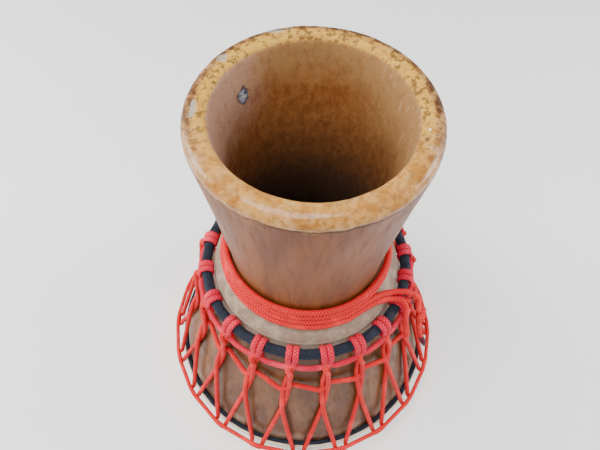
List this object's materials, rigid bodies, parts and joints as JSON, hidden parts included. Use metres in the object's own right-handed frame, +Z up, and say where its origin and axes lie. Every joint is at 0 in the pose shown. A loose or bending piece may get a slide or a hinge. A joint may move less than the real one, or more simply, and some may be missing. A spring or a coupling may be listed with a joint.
{
  "type": "rope-tuned goblet drum",
  "caption": "Carved wooden goblet drum with a goatskin head laced by braided red cord, standing on its head with the open foot up.",
  "frame": {"origin": "middle of the skin head's flat underside, which stands on the table", "axes": "+Z up along the drum's axis to the open foot; -Y towards the viewer"},
  "size_m": [0.296, 0.296, 0.3895],
  "materials": {
    "carved_wood": "stained and waxed, golden and worn on the foot's rim, matte on the shoulder",
    "goatskin": "dry cream goatskin",
    "black_cloth": "wound navy-black cloth strip",
    "red_cord": "braided red cord, a little sheen"
  },
  "bodies": {
    "root": {"shell": "carved_wood", "skin_head": "goatskin", "head_ring": "black_cloth", "neck_ring": "black_cloth", "neck_ring_cord": "red_cord", "crown_cord": "red_cord", "lacing_cord": "red_cord", "neck_cord": "red_cord"}
  },
  "joints": []
}
